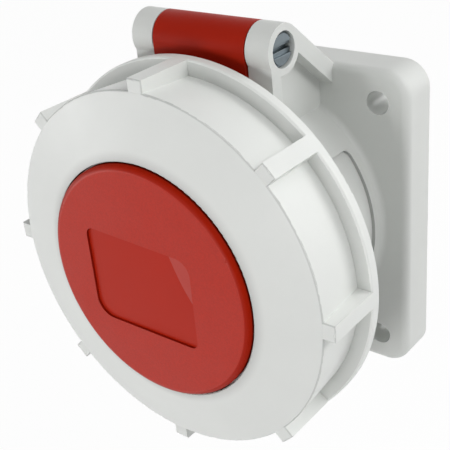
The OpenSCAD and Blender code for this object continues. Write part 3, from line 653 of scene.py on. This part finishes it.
def backdrop_rays(tree):
    """1 for rays that see the backdrop: from the camera, and off or through a surface."""
    rays = tree.nodes.new("ShaderNodeLightPath")
    first = tree.nodes.new("ShaderNodeMath")
    second = tree.nodes.new("ShaderNodeMath")
    first.operation = second.operation = "MAXIMUM"
    tree.links.new(rays.outputs["Is Camera Ray"], first.inputs[0])
    tree.links.new(rays.outputs["Is Glossy Ray"], first.inputs[1])
    tree.links.new(first.outputs[0], second.inputs[0])
    tree.links.new(rays.outputs["Is Transmission Ray"], second.inputs[1])
    return second


class SocketStage(bpy.types.Operator):
    """Set up the floor, the backdrop, the lamps and the camera"""
    bl_idname = "socket.stage"
    bl_label = "Stage"

    def execute(self, context):
        studio = studio_settings()
        self.floor(context, studio)
        self.surround(context, studio)
        self.lamps(context, studio)
        self.camera(context, studio)
        context.scene.view_settings.view_transform = "Standard"
        return {"FINISHED"}

    def floor(self, context, studio):
        """A pale floor that the camera sees as white, but for the shadow on it."""
        low, half = CAD_BOX[0][2] - studio.floor_drop, FLOOR_HALF
        corners = [(-half, -half, low), (half, -half, low), (half, half, low), (-half, half, low)]
        mesh = bpy.data.meshes.new("floor")
        mesh.from_pydata(corners, [], [(0, 1, 2, 3)])
        floor = bpy.data.objects.new("floor", mesh)
        context.scene.collection.objects.link(floor)
        m = Nodes("floor_paper")
        m.tint(m.noise(m.place(), size=0.4, detail=2), [studio.floor_tone] * 3, change=0.01)
        m.shader.inputs["Roughness"].default_value = 0.9
        m.shader.inputs["Specular IOR Level"].default_value = 0.1
        bright = m.add("ShaderNodeEmission")
        bright.inputs["Strength"].default_value = 1.0
        share = m.add("ShaderNodeMath", operation="MULTIPLY")
        share.inputs[1].default_value = FLOOR_WHITE
        m.link(backdrop_rays(m.tree), 0, share, 0)
        mix = m.add("ShaderNodeMixShader")
        m.link(share, 0, mix, "Fac")
        m.link(m.shader, 0, mix, 1)
        m.link(bright, 0, mix, 2)
        m.link(mix, 0, m.tree.nodes["Material Output"], "Surface")
        mesh.materials.append(m.material)

    def surround(self, context, studio):
        """Even light all round, which the camera and mirror-like surfaces see as white."""
        world = bpy.data.worlds.new("studio")
        context.scene.world = world
        world.use_nodes = True
        tree = world.node_tree
        background = tree.nodes["Background"]
        background.inputs["Color"].default_value = (*WHITE, 1)
        mix = tree.nodes.new("ShaderNodeMapRange")
        mix.inputs["To Min"].default_value = studio.sky
        mix.inputs["To Max"].default_value = 1.0
        tree.links.new(backdrop_rays(tree).outputs[0], mix.inputs["Value"])
        tree.links.new(mix.outputs["Result"], background.inputs["Strength"])

    def lamps(self, context, studio):
        """Round lamps at one distance, all aimed at the middle of the socket."""
        for name, azimuth, elevation, size, power in LAMPS:
            way = way_to(math.radians(azimuth), math.radians(elevation))
            light = bpy.data.lights.new(name, "AREA")
            light.shape = "DISK"
            light.size = size
            light.energy = power * studio.lamp_level
            holder = bpy.data.objects.new(name, light)
            holder.location = LAMP_AIM + way * LAMP_DISTANCE
            holder.rotation_euler = (-way).to_track_quat("-Z", "Y").to_euler()
            context.scene.collection.objects.link(holder)

    def camera(self, context, studio):
        """A camera that looks at the socket from its azimuth and elevation, with a slight roll."""
        data = bpy.data.cameras.new("camera")
        data.lens = studio.lens
        data.sensor_width = SENSOR_WIDTH_MM
        data.clip_start = CLIP_START
        camera = bpy.data.objects.new("camera", data)
        ahead = -way_to(studio.azimuth, studio.elevation)
        level = ahead.cross(Vector((0, 0, 1))).normalized()
        rise = level.cross(ahead)
        right = math.cos(studio.roll) * level + math.sin(studio.roll) * rise
        up = math.cos(studio.roll) * rise - math.sin(studio.roll) * level
        turn = Matrix((right, up, -ahead)).transposed()
        camera.matrix_world = Matrix.Translation(Vector(studio.eye)) @ turn.to_4x4()
        context.scene.collection.objects.link(camera)
        context.scene.camera = camera


# --- Sidebar ----------------------------------------------------------------------------------

OPERATORS = (SocketHousing, SocketLockingRing, SocketLid, SocketHingePin, SocketInsert,
             SocketSeals, SocketScrews, SocketStage)


class SocketPanel(bpy.types.Panel):
    """Lists the socket's pieces, finishes and stage"""
    bl_idname = "SOCKET_PT_pieces"
    bl_label = "Panel Socket"
    bl_space_type = "VIEW_3D"
    bl_region_type = "UI"
    bl_category = "Panel Socket"

    def draw(self, context):
        column = self.layout.column(align=True)
        for operator in OPERATORS:
            column.operator(operator.bl_idname)
        for title, group in (("Finish", finish_settings()), ("Studio", studio_settings())):
            box = self.layout.box()
            box.label(text=title)
            for name in group.__annotations__:
                box.prop(group, name)


CLASSES = (SocketFinish, SocketStudio, *OPERATORS, SocketPanel)


def register():
    for cls in CLASSES:
        bpy.utils.register_class(cls)
    bpy.types.Scene.socket_finish = PointerProperty(type=SocketFinish)
    bpy.types.Scene.socket_studio = PointerProperty(type=SocketStudio)


def unregister():
    del bpy.types.Scene.socket_studio
    del bpy.types.Scene.socket_finish
    for cls in reversed(CLASSES):
        bpy.utils.unregister_class(cls)


def main():
    register()
    for operator in OPERATORS:
        group, name = operator.bl_idname.split(".")
        getattr(getattr(bpy.ops, group), name)()


if __name__ == "__main__":
    main()
